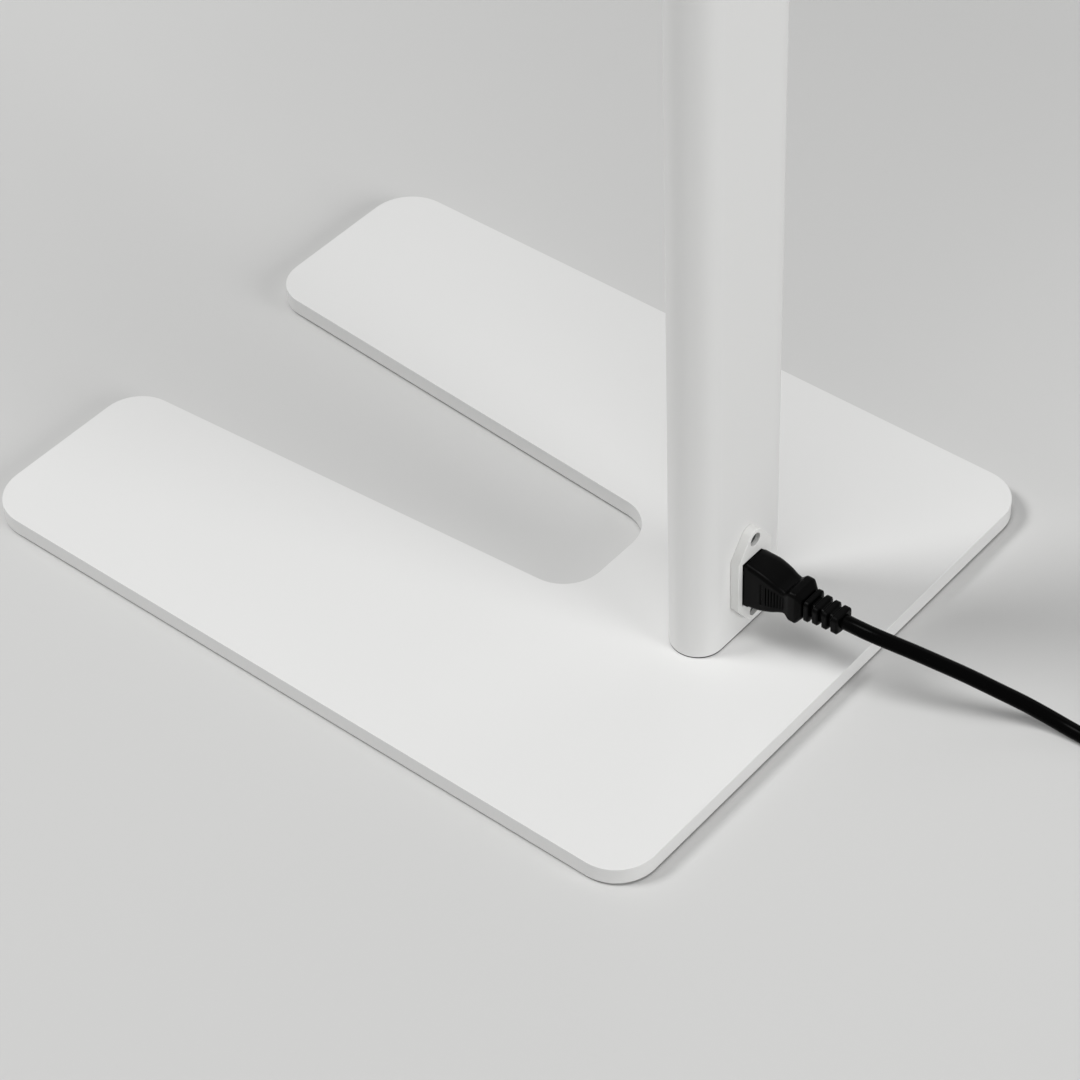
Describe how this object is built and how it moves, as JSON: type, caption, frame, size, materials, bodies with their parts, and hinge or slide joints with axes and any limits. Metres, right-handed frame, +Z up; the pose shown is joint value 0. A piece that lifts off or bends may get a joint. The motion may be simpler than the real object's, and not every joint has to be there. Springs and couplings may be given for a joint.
{
  "type": "office floor lamp",
  "caption": "Free-standing office floor lamp: slotted flat base, slim hollow post with mains inlet, dimmer knob and a flat wide head that lights down and up; plug-in mains lead.",
  "frame": {"origin": "on the floor under the middle of the base plate", "axes": "+Z up along the post, +Y to the back where the mains lead leaves, -Y the slot's open side and the side the head reaches to, X across the head's width"},
  "size_m": [0.6, 0.5446, 1.95],
  "materials": {
    "base_white": "white powder coat, satin",
    "body_white": "white powder coat, satin",
    "moulded_white": "moulded, semi-gloss",
    "zinc_steel": "zinc plated",
    "nickel": "nickel plated brass",
    "brass": "plain",
    "black_rubber": "matt",
    "black_pvc": "moulded, semi-matt",
    "black_plastic": "moulded",
    "wire_brown": "insulated wire",
    "cable_grey": "sheathed cable",
    "driver_case": "moulded housing",
    "dimmer_plastic": "moulded",
    "diffuser": "frosted opal acrylic",
    "led_aluminium": "plain sheet",
    "led_board": "LED boards"
  },
  "bodies": {
    "lamp": {"base_plate": "base_white", "base_feet": "black_rubber", "post_screws": "zinc_steel", "earth_fastener": "zinc_steel", "earth_lug": "zinc_steel", "post": "body_white", "inlet_body": "moulded_white", "inlet_pins": "nickel", "inlet_screws": "zinc_steel", "inlet_wires": "wire_brown", "driver": "driver_case", "driver_clips": "black_plastic", "post_cable": "cable_grey", "dimmer_case": "dimmer_plastic", "dimmer_nut": "zinc_steel", "dimmer_spring": "zinc_steel", "dimmer_leads": "wire_brown", "neck_block": "zinc_steel", "neck_screws": "zinc_steel", "cable_grommet": "black_rubber", "head_terminal": "black_plastic", "head_tray": "body_white", "lower_panel": "diffuser", "led_plate": "led_aluminium", "led_strips_down": "led_board", "led_strips_up": "led_board", "upper_panel": "diffuser", "head_lid": "body_white", "lid_screws": "zinc_steel"},
    "dimmer_disc": {"dimmer_rotor": "dimmer_plastic"},
    "dimmer_button": {"dimmer_knob": "moulded_white", "dimmer_shaft": "zinc_steel"},
    "mains_lead": {"lead_connector": "black_pvc", "lead_contacts": "brass", "lead_cord": "black_pvc", "lead_coil": "black_pvc", "coil_tie": "black_pvc", "lead_tail": "black_pvc", "plug_body": "black_pvc", "plug_pins": "nickel", "plug_earth": "nickel"}
  },
  "joints": [
    {"name": "dimmer_turn", "type": "hinge", "parent": "lamp", "child": "dimmer_disc", "pos_m": [0, 0.1077, 1.09], "axis": [0, 1, 0], "range_deg": [-150, 150]},
    {"name": "dimmer_push", "type": "slide", "parent": "dimmer_disc", "child": "dimmer_button", "axis": [0, 1, 0], "range_m": [0, 0.0015], "stiffness_N_per_m": 1000, "springref_m": -0.001, "deforming": ["dimmer_spring"]},
    {"name": "lead_unplug", "type": "slide", "parent": "lamp", "child": "mains_lead", "axis": [0, 1, 0], "range_m": [0, 0.024]}
  ]
}
